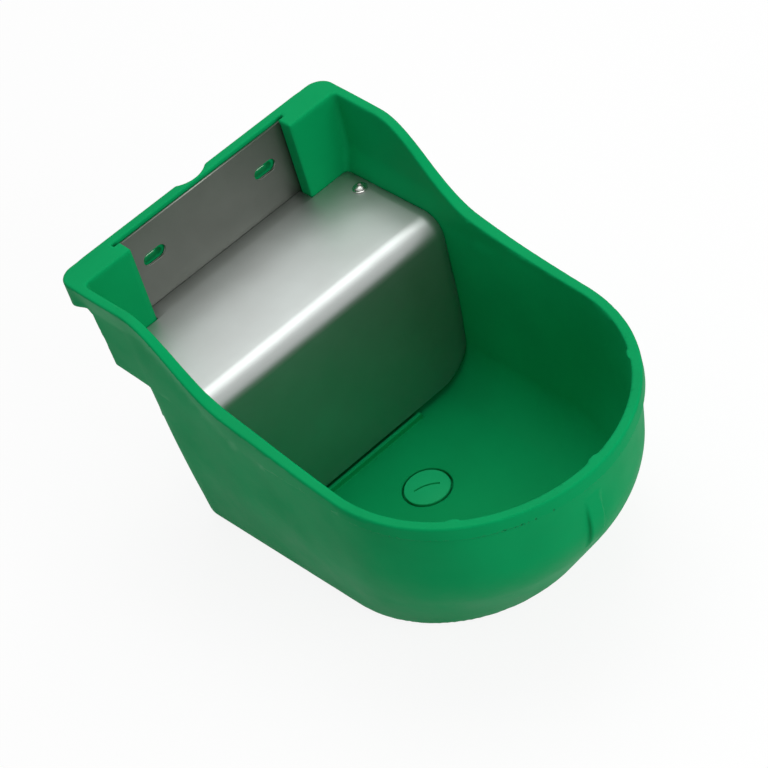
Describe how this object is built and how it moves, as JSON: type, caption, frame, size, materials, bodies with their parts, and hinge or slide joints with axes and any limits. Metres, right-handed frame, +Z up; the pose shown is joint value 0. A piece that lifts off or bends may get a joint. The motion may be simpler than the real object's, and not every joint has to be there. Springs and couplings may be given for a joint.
{
  "type": "livestock drinking bowl",
  "caption": "Wall-hung moulded drinking bowl with a round front, swept-up back, bent stainless cover over a float valve, slotted back plate and screw-in drain plug.",
  "frame": {"origin": "middle of the footprint, on the plane the bowl stands on", "axes": "+Z up, +Y towards the wall behind the bowl, +X to the right of somebody facing the wall"},
  "size_m": [0.26, 0.408, 0.24],
  "materials": {
    "moulded_green": "green polyethylene, injection moulded, satin",
    "plug_green": "green polypropylene, moulded, slightly glossier",
    "stainless_plate": "stainless sheet, fine cold-rolled grain",
    "stainless_cover": "stainless sheet, fine grain along the bend",
    "stainless_fasteners": "stainless screws, washers and nuts",
    "brass": "turned and cast brass",
    "nozzle_white": "white acetal",
    "black_rubber": "black EPDM rubber",
    "float_white": "blow-moulded white polyethylene",
    "lever_black": "black glass-filled nylon"
  },
  "bodies": {
    "bowl": {"bowl_shell": "moulded_green", "back_plate": "stainless_plate", "valve_cover": "stainless_cover", "cover_screws": "stainless_fasteners", "cover_screw_washers": "stainless_fasteners", "cover_screw_inserts": "brass", "valve_body": "brass", "valve_nozzle": "nozzle_white", "inlet_gasket": "black_rubber", "inlet_washer": "stainless_fasteners", "inlet_locknut": "brass", "lever_pivot_pin": "stainless_fasteners", "pivot_split_pin": "stainless_fasteners"},
    "float_arm": {"float_lever": "lever_black", "valve_float": "float_white", "float_stem": "stainless_fasteners", "stem_locknuts": "stainless_fasteners"},
    "plunger": {"plunger": "nozzle_white", "plunger_seal": "black_rubber"},
    "drain_seal": {"drain_plug_oring": "black_rubber"},
    "drain_plug": {"drain_plug": "plug_green"}
  },
  "joints": [
    {"name": "float_swing", "type": "hinge", "parent": "bowl", "child": "float_arm", "pos_m": [-0.01, 0.113, 0.098], "axis": [0, -1, 0], "range_deg": [0, 16]},
    {"name": "plunger_slide", "type": "slide", "parent": "bowl", "child": "plunger", "axis": [0, 0, 1], "range_m": [0, 0.0031]},
    {"name": "drain_lift", "type": "slide", "parent": "bowl", "child": "drain_seal", "axis": [0, 0, 1], "range_m": [0, 0.006]},
    {"name": "drain_turn", "type": "hinge", "parent": "drain_seal", "child": "drain_plug", "pos_m": [0, 0.011, 0.01], "axis": [0, 0, 1], "range_deg": [0, 720]}
  ],
  "couplings": [
    {"joint": "plunger_slide", "follows": "float_swing", "m_per_rad": 0.0111},
    {"joint": "drain_lift", "follows": "drain_turn", "m_per_rad": 0.00047746}
  ]
}
